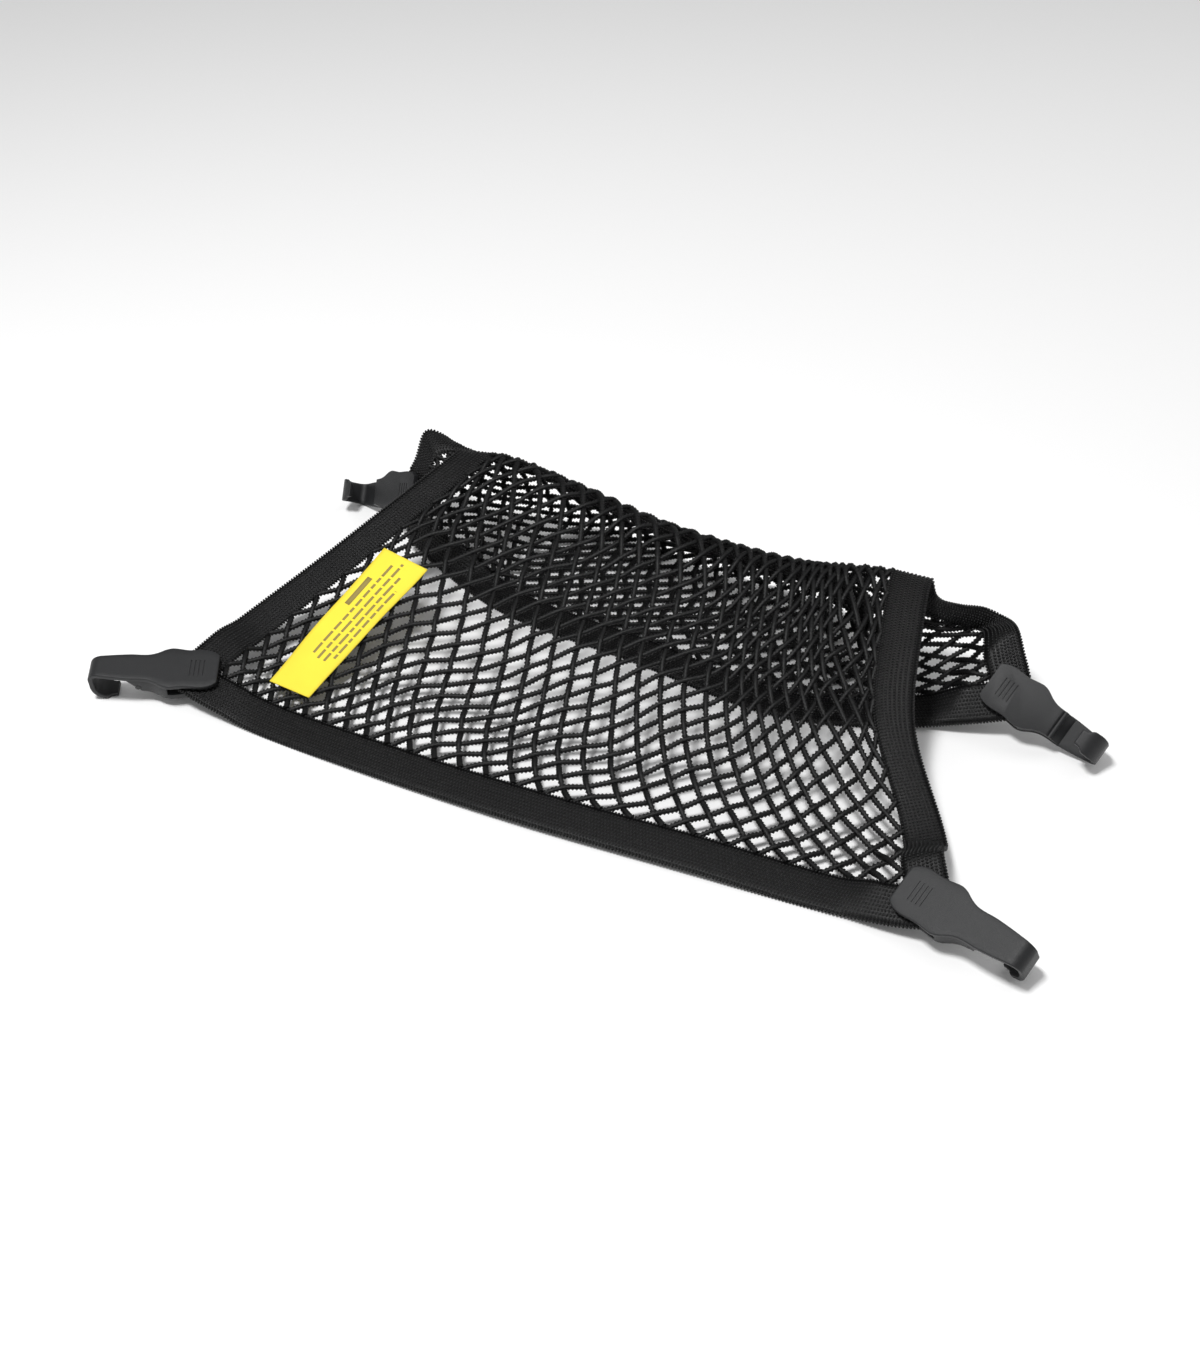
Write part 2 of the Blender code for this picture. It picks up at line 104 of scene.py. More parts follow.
# How the cloth lies: each column runs from the front edge up to the ridge, down and under
cloth = {
    "bandWidth": 21.0,
    "floor": 1.5,
    "columnAt": (0.0, 0.05, 0.12, 0.3, 0.5, 0.7, 0.88, 0.95, 1.0),
    "ridgeRow": 4,
    "acrossRun": 425.0,
    "frontRun": 440.0,
    "backRun": 205.0,
    "jawMiddle": 5.7,
    "jawDepth": 27.0,
}
clothColumns = (
    ((-225, -3, 14), (-212, 57, 20), (-190, 107, 35), (-168, 152, 52), (-147, 204, 67),
     (-151, 214, 61), (-158, 222, 57), (-168, 227, 60), (-178, 226, 63), (-183, 214, 47),
     (-195, 207, 24)),
    ((-204, -6, 9), (-190, 57, 18), (-169, 109, 35), (-150, 158, 53), (-130, 207, 67.5),
     (-135, 215, 62), (-143, 220, 58), (-152, 222, 59), (-161, 217, 60), (-167, 200, 42),
     (-180, 193, 18)),
    ((-176, -8, 3.5), (-166, 56, 15), (-150, 112, 34), (-135, 164, 54), (-119, 209, 67),
     (-117, 221, 58), (-123, 230, 48), (-131, 227, 43), (-140, 209, 42), (-149, 190, 33),
     (-166, 184, 4)),
    ((-95, -13, 2.5), (-90, 52, 15), (-82, 104, 34), (-73, 154, 54), (-64, 197, 67),
     (-66, 221, 46), (-70, 243, 22), (-76, 250, 7), (-84, 226, 1.2), (-90, 188, 1.2),
     (-94, 149, 1.2)),
    ((0, -15, 4), (1, 45, 15), (2, 92, 33), (3, 139, 52), (4, 181, 66),
     (3, 206, 45), (2, 230, 21), (1, 238, 7), (1, 210, 1.2), (0, 174, 1.2),
     (0, 136, 1.2)),
    ((95, -11.5, 4), (92, 45, 15), (87, 92, 33), (82, 138, 52), (78, 179, 65),
     (79, 203, 44), (82, 225, 21), (86, 233, 7), (90, 205, 1.2), (94, 165, 1.2),
     (96, 124, 1.2)),
    ((172, -8, 3), (162, 46, 12), (146, 97, 34), (133, 145, 53), (121, 190, 66),
     (129, 194, 51), (142, 188, 37), (153, 185, 28), (163, 182, 20), (170, 168, 10),
     (176, 149, 4)),
    ((206, -8, 8), (189, 47, 12), (157, 99, 38), (143, 147, 55), (135, 191, 67),
     (149, 190, 55), (163, 193, 44), (174, 200, 38), (185, 205, 33), (194, 194, 25),
     (207, 160, 9)),
    ((228, -5, 14), (206, 53, 13), (172, 104, 38), (160, 150, 56), (153, 193, 66),
     (157, 194, 55), (170, 199, 50), (183, 206, 47), (199, 204, 42), (211, 190, 31),
     (225, 167, 14)),
)
# Each hook: plate end on its outer face, heading, pitch and roll in degrees, and whether it
# lies with its outer face down
hookPlaces = {
    "front_left": ((-198, 13, 18.6), 206.6, 3.6, -13.8, False),
    "front_right": ((196, 6.5, 21.0), -20.5, 2.0, 29.0, False),
    "back_right": ((196, 175, 22.5), -12.5, -15.0, 43.0, True),
    "back_left": ((-169, 202, 32.4), 160.0, -24.0, -58.0, True),
}


def hookFrame(name):
    at, heading, pitch, roll, flipped = hookPlaces[name]
    turn = Matrix.Rotation(math.radians(heading), 4, "Z")
    turn = turn @ Matrix.Rotation(math.radians(-pitch), 4, "Y")
    turn = turn @ Matrix.Rotation(math.radians(roll + (180 if flipped else 0)), 4, "X")
    return Matrix.Translation(Vector(at)) @ turn


def smoothStep(t):
    t = np.clip(t, 0.0, 1.0)
    return t * t * (3 - 2 * t)


def readCurve(knots, values, at):
    # smooth curve through values (n, m, 3) at knots (n, m), read at (m,)
    step = np.diff(knots, axis=0)
    slope = np.diff(values, axis=0) / step[..., None]
    middle = slope[1:] * step[:-1, :, None] + slope[:-1] * step[1:, :, None]
    middle = middle / (step[1:] + step[:-1])[..., None]
    tangent = np.concatenate([slope[:1], middle, slope[-1:]])
    cell = np.clip((knots[1:-1] <= at).sum(axis=0), 0, len(knots) - 2)
    pick = np.arange(len(at))
    width = step[cell, pick]
    t = ((at - knots[cell, pick]) / width)[:, None]
    width = width[:, None]
    start, end = values[cell, pick], values[cell + 1, pick]
    return (
        start * (2 * t ** 3 - 3 * t ** 2 + 1) + end * (3 * t ** 2 - 2 * t ** 3)
        + tangent[cell, pick] * width * (t ** 3 - 2 * t ** 2 + t)
        + tangent[cell + 1, pick] * width * (t ** 3 - t ** 2)
    )


def columnKnots(points):
    run = np.concatenate([[0.0], np.cumsum(np.linalg.norm(np.diff(points, axis=0), axis=1))])
    ridge = run[cloth["ridgeRow"]]
    back = 0.5 + 0.5 * (run - ridge) / (run[-1] - ridge)
    return np.where(run <= ridge, 0.5 * run / ridge, back)


columnPoints = [np.array(column, dtype=float) for column in clothColumns]
columnShares = [columnKnots(points) for points in columnPoints]


def drape(a, b):
    # point of the cloth's middle surface at shares a across and b from front to back
    a, b = np.broadcast_arrays(np.asarray(a, float), np.asarray(b, float))
    shape = a.shape
    a, b = a.ravel(), b.ravel()
    lines = []
    for points, knots in zip(columnPoints, columnShares):
        many = np.repeat(points[:, None, :], len(b), axis=1)
        lines.append(readCurve(np.repeat(knots[:, None], len(b), axis=1), many, b))
    across = np.repeat(np.array(cloth["columnAt"])[:, None], len(a), axis=1)
    spot = readCurve(across, np.array(lines), a)
    for name in hookPlaces:
        place = np.array(hookFrame(name))
        origin, normal = place[:3, 3], place[:3, 2]
        jaw = origin - normal * cloth["jawMiddle"]
        fromSide = a if name.endswith("left") else 1 - a
        fromEnd = b * cloth["frontRun"] if name.startswith("front") else (1 - b) * cloth["backRun"]
        share = smoothStep((58.0 - np.hypot(fromSide * cloth["acrossRun"], fromEnd)) / 18.0)
        spot = spot - (share * ((spot - jaw) @ normal))[:, None] * normal
    spot[:, 2] = np.maximum(spot[:, 2], cloth["floor"])
    return spot.reshape(shape + (3,))


def normalsAt(a, b):
    step = 0.002
    ahead = drape(a, np.minimum(b + step, 1)) - drape(a, np.maximum(b - step, 0))
    beside = drape(np.minimum(a + step, 1), b) - drape(np.maximum(a - step, 0), b)
    normal = np.cross(beside, ahead)
    return normal / np.maximum(np.linalg.norm(normal, axis=-1)[..., None], 1e-9)


def seamShares(side):
    fine = np.linspace(0.0, 0.3, 121)
    edge = np.linspace(0.0, 1.0, 81)
    gridIn, gridAlong = np.meshgrid(fine, edge)
    if side == "left":
        spots = drape(gridIn, gridAlong)
    elif side == "right":
        spots = drape(1 - gridIn, gridAlong)
    elif side == "front":
        spots = drape(gridAlong, gridIn)
    else:
        spots = drape(gridAlong, 1 - gridIn)
    run = np.cumsum(np.linalg.norm(np.diff(spots, axis=1), axis=2), axis=1)
    return edge, np.array([np.interp(cloth["bandWidth"], row, fine[1:]) for row in run])


seams = {side: seamShares(side) for side in ("left", "right", "front", "back")}


def seamAt(side, along, extra=0.0):
    edge, found = seams[side]
    return np.interp(along, edge, found) * (1 + extra / cloth["bandWidth"])


def netShares(across, deep):
    across, deep = np.broadcast_arrays(across, deep)
    a, b = across.copy(), deep.copy()
    for _ in range(6):
        left = seamAt("left", b)
        right = 1 - seamAt("right", b)
        front = seamAt("front", a)
        back = 1 - seamAt("back", a)
        a = left + across * (right - left)
        b = front + deep * (back - front)
    return a, b


def finishPiece(made, nodes=()):
    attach(made, "root")
    if nodes:
        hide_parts(*nodes)
    return made


def meshObject(name, verts, faces, material=None, edges=(), smooth=True):
    data = bpy.data.meshes.new(name)
    data.from_pydata([tuple(v) for v in np.asarray(verts) * mm], list(edges), list(faces))
    data.update()
    made = bpy.data.objects.new(name, data)
    bpy.context.scene.collection.objects.link(made)
    if material:
        data.materials.append(material)
    if smooth and len(faces):
        data.polygons.foreach_set("use_smooth", [True] * len(data.polygons))
    return made


def outwardNormals(made):
    shaped = bmesh.new()
    shaped.from_mesh(made.data)
    bmesh.ops.recalc_face_normals(shaped, faces=shaped.faces)
    shaped.to_mesh(made.data)
    shaped.free()


def plainMesh(source, name):
    # the evaluated object becomes a plain mesh, and its source is removed
    graph = bpy.context.evaluated_depsgraph_get()
    data = bpy.data.meshes.new_from_object(source.evaluated_get(graph), depsgraph=graph)
    data.name = name
    made = bpy.data.objects.new(name, data)
    bpy.context.scene.collection.objects.link(made)
    made.data.transform(source.matrix_world)
    old = source.data
    bpy.data.objects.remove(source, do_unlink=True)
    bpy.data.meshes.remove(old)
    made.name = name
    return made


print("materials")
finishes = {
    "cordBlack": {"color": (0.003, 0.003, 0.0032), "rough": 0.42, "spec": 0.3},
    "knitBlack": {"color": (0.003, 0.003, 0.0032), "rough": 0.4, "spec": 0.32},
    "hookGrey": {"color": (0.012, 0.0124, 0.0135), "rough": 0.46, "spec": 0.4},
    "labelYellow": {"color": (0.93, 0.75, 0.06), "rough": 0.75, "spec": 0.25},
    "printBrown": {"color": (0.32, 0.25, 0.08), "rough": 0.7, "spec": 0.2},
}


def plainFinish(name):
    finish = finishes[name]
    made = bpy.data.materials.new(name)
    made.use_nodes = True
    shader = made.node_tree.nodes["Principled BSDF"]
    shader.inputs["Base Color"].default_value = (*finish["color"], 1.0)
    shader.inputs["Roughness"].default_value = finish["rough"]
    shader.inputs["Specular IOR Level"].default_value = finish["spec"]
    return made


def addGrain(material, scale, low, high, bumpScale, bumpStrength, bumpDistance):
    # colour varies a little, and a fine grain roughens the surface
    finish = finishes[material.name]
    nodes, links = material.node_tree.nodes, material.node_tree.links
    shader = nodes["Principled BSDF"]
    coordinates = nodes.new("ShaderNodeTexCoord")
    patches = nodes.new("ShaderNodeTexNoise")
    patches.inputs["Scale"].default_value = scale
    patches.inputs["Detail"].default_value = 3.0
    ramp = nodes.new("ShaderNodeValToRGB")
    ramp.color_ramp.elements[0].position = 0.3
    ramp.color_ramp.elements[0].color = (*[c * low for c in finish["color"]], 1.0)
    ramp.color_ramp.elements[1].position = 0.72
    ramp.color_ramp.elements[1].color = (*[c * high for c in finish["color"]], 1.0)
    grain = nodes.new("ShaderNodeTexNoise")
    grain.inputs["Scale"].default_value = bumpScale
    grain.inputs["Detail"].default_value = 2.0
    bump = nodes.new("ShaderNodeBump")
    bump.inputs["Strength"].default_value = bumpStrength
    bump.inputs["Distance"].default_value = bumpDistance
    links.new(coordinates.outputs["Object"], patches.inputs["Vector"])
    links.new(coordinates.outputs["Object"], grain.inputs["Vector"])
    links.new(patches.outputs["Fac"], ramp.inputs["Fac"])
    links.new(ramp.outputs["Color"], shader.inputs["Base Color"])
    links.new(grain.outputs["Fac"], bump.inputs["Height"])
    links.new(bump.outputs["Normal"], shader.inputs["Normal"])
    return material


cordBlack = addGrain(plainFinish("cordBlack"), 900.0, 0.5, 1.9, 2600.0, 0.5, 0.0004)
knitBlack = addGrain(plainFinish("knitBlack"), 700.0, 0.5, 2.0, 2600.0, 0.5, 0.0004)
hookGrey = addGrain(plainFinish("hookGrey"), 60.0, 0.93, 1.07, 3200.0, 0.45, 0.0003)
labelYellow = addGrain(plainFinish("labelYellow"), 40.0, 0.95, 1.04, 2200.0, 0.3, 0.0002)
printBrown = plainFinish("printBrown")

print("net cords")
netCord = {
    "cellsAcross": 27,
    "cellsDeep": 20,
    "evenness": 0.75,
    "drift": 0.18,
    "driftEnd": 0.88,
    "edgeRows": 0.75,
    "radius": 1.5,
    "bead": 1.05,
    "beadDepth": 0.24,
    "sides": 7,
    "weave": 0.75,
    "unevenness": 0.11,
    "seed": 7,
}


def meshSpot(across, deep, wobble):
    # where the knots of the mesh lie, drawn to the right where the net is stretched
    t, r = across / netCord["cellsAcross"], deep / netCord["cellsDeep"]
    t = np.clip(t, 0, 1)
    r = np.clip(r, 0, 1)
    fromEdge = 2 * np.minimum(r, 1 - r)
    grown = 0.5 * fromEdge * (netCord["edgeRows"] + (1 - netCord["edgeRows"]) * fromEdge)
    r = np.where(r < 0.5, grown, 1 - grown)
    pull = np.sin(math.pi * np.clip(t / netCord["driftEnd"], 0, 1))
    t = t * (netCord["evenness"] + (1 - netCord["evenness"]) * t)
    t = t + netCord["drift"] * pull * np.sin(math.pi * r) ** 1.2
    inside = np.sin(math.pi * np.clip(t, 0, 1)) ** 0.3 * np.sin(math.pi * r) ** 0.3
    t = t + wobble[0](across, deep) * inside / netCord["cellsAcross"]
    r = r + wobble[1](across, deep) * inside / netCord["cellsDeep"]
    return netShares(np.clip(t, 0, 1), np.clip(r, 0, 1))


def makeWobble(random, size):
    waves = [(random.uniform(0.35, 1.6), random.uniform(0.35, 1.6), random.uniform(0, 6.3))
             for _ in range(6)]

    def read(x, y):
        return size * sum(np.sin(p * x + q * y + s) for p, q, s in waves) / 2.2
    return read


def buildCordTree(setup):
    tree = bpy.data.node_groups.new("beadedCord", "GeometryNodeTree")
    face = tree.interface
    face.new_socket("Geometry", in_out="INPUT", socket_type="NodeSocketGeometry")
    for label, value in (("Cord radius", setup["radius"] * mm), ("Bead length", setup["bead"] * mm),
                         ("Bead depth", setup["beadDepth"])):
        socket = face.new_socket(label, in_out="INPUT", socket_type="NodeSocketFloat")
        socket.default_value = value
    socket = face.new_socket("Sides", in_out="INPUT", socket_type="NodeSocketInt")
    socket.default_value = setup["sides"]
    face.new_socket("Cord material", in_out="INPUT", socket_type="NodeSocketMaterial")
    face.new_socket("Geometry", in_out="OUTPUT", socket_type="NodeSocketGeometry")
    nodes, links = tree.nodes, tree.links
    start = nodes.new("NodeGroupInput")
    end = nodes.new("NodeGroupOutput")
    toCurve = nodes.new("GeometryNodeMeshToCurve")
    resample = nodes.new("GeometryNodeResampleCurve")
    resample.mode = "LENGTH"
    parameter = nodes.new("GeometryNodeSplineParameter")
    halfTurn = nodes.new("ShaderNodeMath")
    halfTurn.operation = "MULTIPLY"
    halfTurn.inputs[1].default_value = math.pi
    wave = nodes.new("ShaderNodeMath")
    wave.operation = "COSINE"
    depth = nodes.new("ShaderNodeMath")
    depth.operation = "MULTIPLY"
    swell = nodes.new("ShaderNodeMath")
    swell.operation = "ADD"
    swell.inputs[1].default_value = 1.0
    thick = nodes.new("ShaderNodeMath")
    thick.operation = "MULTIPLY"
    tilt = nodes.new("GeometryNodeSetCurveTilt")
    twist = nodes.new("ShaderNodeMath")
    twist.operation = "MULTIPLY"
    twist.inputs[1].default_value = 0.4
    profile = nodes.new("GeometryNodeCurvePrimitiveCircle")
    profile.inputs["Radius"].default_value = 1.0
    tube = nodes.new("GeometryNodeCurveToMesh")
    tube.inputs["Fill Caps"].default_value = True
    shade = nodes.new("GeometryNodeSetShadeSmooth")
    realize = nodes.new("GeometryNodeRealizeInstances")
    paint = nodes.new("GeometryNodeSetMaterial")
    links.new(start.outputs["Geometry"], toCurve.inputs["Mesh"])
    links.new(toCurve.outputs["Curve"], resample.inputs["Curve"])
    links.new(start.outputs["Bead length"], resample.inputs["Length"])
    links.new(parameter.outputs["Index"], halfTurn.inputs[0])
    links.new(halfTurn.outputs[0], wave.inputs[0])
    links.new(wave.outputs[0], depth.inputs[0])
    links.new(start.outputs["Bead depth"], depth.inputs[1])
    links.new(depth.outputs[0], swell.inputs[0])
    links.new(swell.outputs[0], thick.inputs[0])
    links.new(start.outputs["Cord radius"], thick.inputs[1])
    links.new(resample.outputs["Curve"], tilt.inputs["Curve"])
    links.new(thick.outputs[0], tube.inputs["Scale"])
    links.new(parameter.outputs["Index"], twist.inputs[0])
    links.new(twist.outputs[0], tilt.inputs["Tilt"])
    links.new(start.outputs["Sides"], profile.inputs["Resolution"])
    links.new(tilt.outputs["Curve"], tube.inputs["Curve"])
    links.new(profile.outputs["Curve"], tube.inputs["Profile Curve"])
    links.new(tube.outputs["Mesh"], shade.inputs["Geometry"])
    links.new(shade.outputs["Geometry"], realize.inputs["Geometry"])
    links.new(realize.outputs["Geometry"], paint.inputs["Geometry"])
    links.new(start.outputs["Cord material"], paint.inputs["Material"])
    links.new(paint.outputs["Geometry"], end.inputs["Geometry"])
    return tree


def setInput(modifier, label, value):
    for item in modifier.node_group.interface.items_tree:
        if item.item_type == "SOCKET" and item.in_out == "INPUT" and item.name == label:
            modifier[item.identifier] = value


def buildCords(name, sign, tree):
    random = np.random.default_rng(netCord["seed"])
    wobble = (makeWobble(random, netCord["unevenness"]), makeWobble(random, netCord["unevenness"]))
    wide, deep = netCord["cellsAcross"], netCord["cellsDeep"]
    verts, edges = [], []
    for start in range(-deep, wide + deep):
        q = np.arange(0, deep * 12 + 1) / 12.0
        u = start + 0.5 - sign * q
        keep = (u >= 0) & (u <= wide)
        q, u = q[keep], u[keep]
        if len(q) < 4:
            continue
        a, b = meshSpot(u, q, wobble)
        line = drape(a, b)
        normal = normalsAt(a, b)
        lift = sign * netCord["weave"] * np.cos(2 * math.pi * q)
        line = line + normal * lift[:, None]
        line[:, 2] = np.maximum(line[:, 2], 1.9)
        first = len(verts)
        verts += list(line + toOrigin)
        edges += [(first + i, first + i + 1) for i in range(len(line) - 1)]
    source = meshObject(name + "Lines", verts, [], edges=edges)
    modifier = source.modifiers.new("beads", "NODES")
    modifier.node_group = tree
    setInput(modifier, "Cord radius", netCord["radius"] * mm)
    setInput(modifier, "Bead length", netCord["bead"] * mm)
    setInput(modifier, "Bead depth", netCord["beadDepth"])
    setInput(modifier, "Sides", netCord["sides"])
    setInput(modifier, "Cord material", cordBlack)
    return plainMesh(source, name)


cordTree = buildCordTree(netCord)
cordsRight = buildCords("cords_to_right", 1, cordTree)
cordsLeft = buildCords("cords_to_left", -1, cordTree)
print("cord triangles", sum(len(p.vertices) - 2 for o in (cordsRight, cordsLeft)
                            for p in o.data.polygons))
finishPiece(cordsRight, ("net_panel",))
finishPiece(cordsLeft, ("net_panel",))

print("edge bindings")
band = {
    "thick": 1.5,
    "stitchAlong": 1.75,
    "stitchAcross": 1.95,
    "stitchSize": (0.75, 1.0, 0.8),
    "slant": 28.0,
}


def bandShares(side, along, inward):
    # shares of the whole cloth for a place on one binding, both given from 0 to 1
    if side in ("front", "back"):
        depth = inward * seamAt(side, along)
        return along, depth if side == "front" else 1 - depth
    b = along.copy()
    for _ in range(6):
        a = inward * seamAt(side, b)
        if side == "right":
            a = 1 - a
        start = seamAt("front", a, 0.3)
        stop = 1 - seamAt("back", a, 0.3)
        b = start + along * (stop - start)
    return a, b


def insideJaws(spots):
    # True where the cloth has gone past the jaws of a hook
    past = np.zeros(spots.shape[:-1], dtype=bool)
    for name in hookPlaces:
        place = np.array(hookFrame(name))
        reach = (spots - place[:3, 3]) @ place[:3, 0]
        near = np.linalg.norm(spots - place[:3, 3], axis=-1) < 75
        past |= near & (reach > cloth["jawDepth"] - 2.0)
    return past


def buildBand(side):
    count = 150
    along = np.linspace(0, 1, count)
    inward = np.linspace(0, 1, 9)
    gridAlong, gridIn = np.meshgrid(along, inward, indexing="ij")
    a, b = bandShares(side, gridAlong, gridIn)
    spots, normals = drape(a, b), normalsAt(a, b)
    past = insideJaws(spots)
    half = 0.5 * band["thick"] * (1 - 0.25 * np.abs(2 * gridIn - 1) ** 6)
    upper = spots + normals * half[..., None]
    lower = spots - normals * half[..., None]
    mesh = bmesh.new()
    top = [[mesh.verts.new((p + toOrigin) * mm) for p in row] for row in upper]
    base = [[mesh.verts.new((p + toOrigin) * mm) for p in row] for row in lower]
    rows, columns = count, len(inward)
    for i in range(rows - 1):
        for j in range(columns - 1):
            mesh.faces.new((top[i][j], top[i][j + 1], top[i + 1][j + 1], top[i + 1][j]))
            mesh.faces.new((base[i][j], base[i + 1][j], base[i + 1][j + 1], base[i][j + 1]))
    rim = [(0, j) for j in range(columns - 1)] + [(i, columns - 1) for i in range(rows - 1)]
    rim += [(rows - 1, j) for j in range(columns - 1, 0, -1)]
    rim += [(i, 0) for i in range(rows - 1, 0, -1)]
    for (i, j), (k, m) in zip(rim, rim[1:] + rim[:1]):
        mesh.faces.new((top[i][j], base[i][j], base[k][m], top[k][m]))
    bmesh.ops.recalc_face_normals(mesh, faces=mesh.faces)
    for name in hookPlaces:
        place = hookFrame(name)
        heading = place.to_3x3() @ Vector((1, 0, 0))
        cut = (place @ Vector((cloth["jawDepth"] - 2.0, 0, 0)) + Vector(toOrigin)) * mm
        middle = (place.translation + Vector(toOrigin)) * mm
        near = {v for v in mesh.verts if (v.co - middle).length < 0.075}
        if any((v.co - cut).dot(heading) > 0 for v in near):
            faces = [f for f in mesh.faces if all(v in near for v in f.verts)]
            edges = list({e for f in faces for e in f.edges})
            verts = list({v for f in faces for v in f.verts})
            bmesh.ops.bisect_plane(mesh, geom=verts + edges + faces, dist=0.000001,
                                   plane_co=cut, plane_no=heading, clear_outer=True)
            openEdges = [e for e in mesh.edges if e.is_boundary]
            bmesh.ops.holes_fill(mesh, edges=openEdges, sides=0)
    for item in mesh.faces:
        item.smooth = True
    data = bpy.data.meshes.new("band_" + side)
    mesh.to_mesh(data)
    mesh.free()
    data.materials.append(knitBlack)
    made = bpy.data.objects.new("band_" + side, data)
    bpy.context.scene.collection.objects.link(made)
    return made


def buildStitchTree(setup):
    tree = bpy.data.node_groups.new("knitStitches", "GeometryNodeTree")
    face = tree.interface
    face.new_socket("Geometry", in_out="INPUT", socket_type="NodeSocketGeometry")
    socket = face.new_socket("Stitch size", in_out="INPUT", socket_type="NodeSocketVector")
    socket.default_value = [v * mm for v in setup["stitchSize"]]
    face.new_socket("Yarn material", in_out="INPUT", socket_type="NodeSocketMaterial")
    face.new_socket("Geometry", in_out="OUTPUT", socket_type="NodeSocketGeometry")
    nodes, links = tree.nodes, tree.links
    start = nodes.new("NodeGroupInput")
    end = nodes.new("NodeGroupOutput")
    toPoints = nodes.new("GeometryNodeMeshToPoints")
    ball = nodes.new("GeometryNodeMeshIcoSphere")
    ball.inputs["Radius"].default_value = 1.0
    ball.inputs["Subdivisions"].default_value = 1
    turn = nodes.new("GeometryNodeInputNamedAttribute")
    turn.data_type = "FLOAT_VECTOR"
    turn.inputs["Name"].default_value = "turn"
    place = nodes.new("GeometryNodeInstanceOnPoints")
    realize = nodes.new("GeometryNodeRealizeInstances")
    shade = nodes.new("GeometryNodeSetShadeSmooth")
    paint = nodes.new("GeometryNodeSetMaterial")
    links.new(start.outputs["Geometry"], toPoints.inputs["Mesh"])
    links.new(toPoints.outputs["Points"], place.inputs["Points"])
    links.new(ball.outputs["Mesh"], place.inputs["Instance"])
    links.new(turn.outputs["Attribute"], place.inputs["Rotation"])
    links.new(start.outputs["Stitch size"], place.inputs["Scale"])
    links.new(place.outputs["Instances"], realize.inputs["Geometry"])
    links.new(realize.outputs["Geometry"], shade.inputs["Geometry"])
    links.new(shade.outputs["Geometry"], paint.inputs["Geometry"])
    links.new(start.outputs["Yarn material"], paint.inputs["Material"])
    links.new(paint.outputs["Geometry"], end.inputs["Geometry"])
    return tree


def buildStitches(side, tree):
    # rows of small slanted loops over both faces of a binding
    line = np.linspace(0, 1, 400)
    a, b = bandShares(side, line, 0 * line + 0.5)
    run = np.concatenate([[0], np.cumsum(np.linalg.norm(np.diff(drape(a, b), axis=0), axis=1))])
    count = int(run[-1] / band["stitchAlong"])
    rows = int(cloth["bandWidth"] / band["stitchAcross"])
    even = np.interp(np.linspace(0, run[-1], count), run, line)
    step = even[1] - even[0]
    gridAlong, gridIn = np.meshgrid(even, (np.arange(rows + 1)) / rows, indexing="ij")
    number = np.arange(rows + 1)[None, :] + 0 * gridAlong
    gridAlong = np.clip(gridAlong + 0.5 * step * (number % 2), 0, 1)
    a, b = bandShares(side, gridAlong, gridIn)
    ahead = np.gradient(drape(*bandShares(side, gridAlong, gridIn)), axis=0)
    ahead /= np.maximum(np.linalg.norm(ahead, axis=-1)[..., None], 1e-9)
    spots, normals = drape(a, b), normalsAt(a, b)
    keep = ~insideJaws(spots)
    spots, normals, ahead, number = spots[keep], normals[keep], ahead[keep], number[keep]
    verts, turns = [], []
    tilt = math.radians(band["slant"])
    for face in (1.0, -1.0):
        place = spots + normals * face * (0.5 * band["thick"] - 0.05)
        for spot, normal, along, column in zip(place, normals, ahead, number):
            up = Vector(normal * face)
            x = Vector(along)
            x = (x - up * x.dot(up)).normalized()
            y = up.cross(x)
            lean = tilt if column % 2 else -tilt
            left = x * math.cos(lean) + y * math.sin(lean)
            ahead2 = up.cross(left)
            basis = Matrix((left, ahead2, up)).transposed()
            verts.append(spot + toOrigin)
            turns.append(basis.to_euler())
    source = meshObject("stitchPlaces_" + side, verts, [])
    attribute = source.data.attributes.new("turn", "FLOAT_VECTOR", "POINT")
    attribute.data.foreach_set("vector", np.array(turns, dtype=float).ravel())
    modifier = source.modifiers.new("stitches", "NODES")
    modifier.node_group = tree
    setInput(modifier, "Stitch size", [v * mm for v in band["stitchSize"]])
    setInput(modifier, "Yarn material", knitBlack)
    return plainMesh(source, "stitches_" + side)


stitchTree = buildStitchTree(band)
for side in ("front", "left", "right", "back"):
    cover = buildBand(side)
    stitches = buildStitches(side, stitchTree)
    finishPiece(cover, ("binding_" + side,))
    finishPiece(stitches)
    print("binding", side, len(stitches.data.polygons))

print("label")
label = {
    "width": (27.0, 33.0),
    "thick": 0.6,
    "lift": 3.4,
    "start": (0.153, 0.068),
    "stop": (0.146, 0.3),
}


def labelSpot(along, across):
    line = np.stack([np.interp(along, (0, 1), (label["start"][i], label["stop"][i]))
                     for i in (0, 1)])
    step = 0.01
    middle = drape(line[0], line[1])
    slope = (np.array(label["stop"]) - np.array(label["start"])) * step
    ahead = drape(line[0] + slope[0], line[1] + slope[1])
    ahead = ahead - drape(line[0] - slope[0], line[1] - slope[1])
    ahead /= np.linalg.norm(ahead, axis=-1)[..., None]
    beside = drape(line[0] + 0.01, line[1]) - drape(line[0] - 0.01, line[1])
    normal = np.cross(beside, ahead)
    normal /= np.linalg.norm(normal, axis=-1)[..., None]
    beside = np.cross(ahead, normal)
    wide = label["width"][0] + (label["width"][1] - label["width"][0]) * along
    lift = label["lift"] + 1.2 * np.sin(along * math.pi) ** 2
    lift = lift + 0.5 * np.sin(along * 9.0 + across * 3.0) * np.sin(along * math.pi)
    spot = middle + beside * (across * wide)[..., None] + normal * lift[..., None]
    return spot + toOrigin, normal


